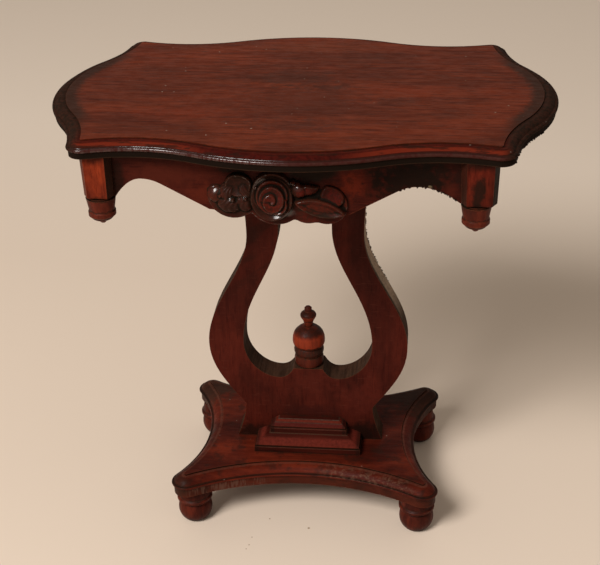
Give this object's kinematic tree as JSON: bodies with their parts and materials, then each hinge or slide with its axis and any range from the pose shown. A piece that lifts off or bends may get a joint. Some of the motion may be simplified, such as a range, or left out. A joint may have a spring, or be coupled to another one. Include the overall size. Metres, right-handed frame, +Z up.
{
  "type": "miniature lyre pedestal table",
  "caption": "Small serpentine-topped parlour table on a flat sawn lyre pedestal, with arched aprons, rose carvings, turned drops and a footed base.",
  "frame": {"origin": "on the floor under the middle of the table", "axes": "+X along the table's length to its right end, +Y to the back, +Z up"},
  "size_m": [0.0666, 0.0458, 0.0635],
  "materials": {
    "top": "satin stained mahogany, grain along the length",
    "frame": "satin stained mahogany",
    "carving": "glossy stained mahogany, dark in the hollows",
    "lyre": "satin stained mahogany, grain upright, sawn edges dull",
    "base": "satin stained mahogany, rubbed on the mouldings",
    "turned": "satin stained mahogany, dark in the grooves"
  },
  "bodies": {
    "root": {"tabletop": "top", "front_apron": "frame", "back_apron": "frame", "left_apron": "frame", "right_apron": "frame", "front_rose_carving": "carving", "back_rose_carving": "carving", "front_left_post": "frame", "front_right_post": "frame", "back_left_post": "frame", "back_right_post": "frame", "front_left_drop": "turned", "front_right_drop": "turned", "back_left_drop": "turned", "back_right_drop": "turned", "lyre": "lyre", "lyre_finial": "turned", "top_bearer": "frame", "front_plinth_block": "base", "back_plinth_block": "base", "base": "base", "front_left_foot": "turned", "front_right_foot": "turned", "back_left_foot": "turned", "back_right_foot": "turned"}
  },
  "joints": []
}
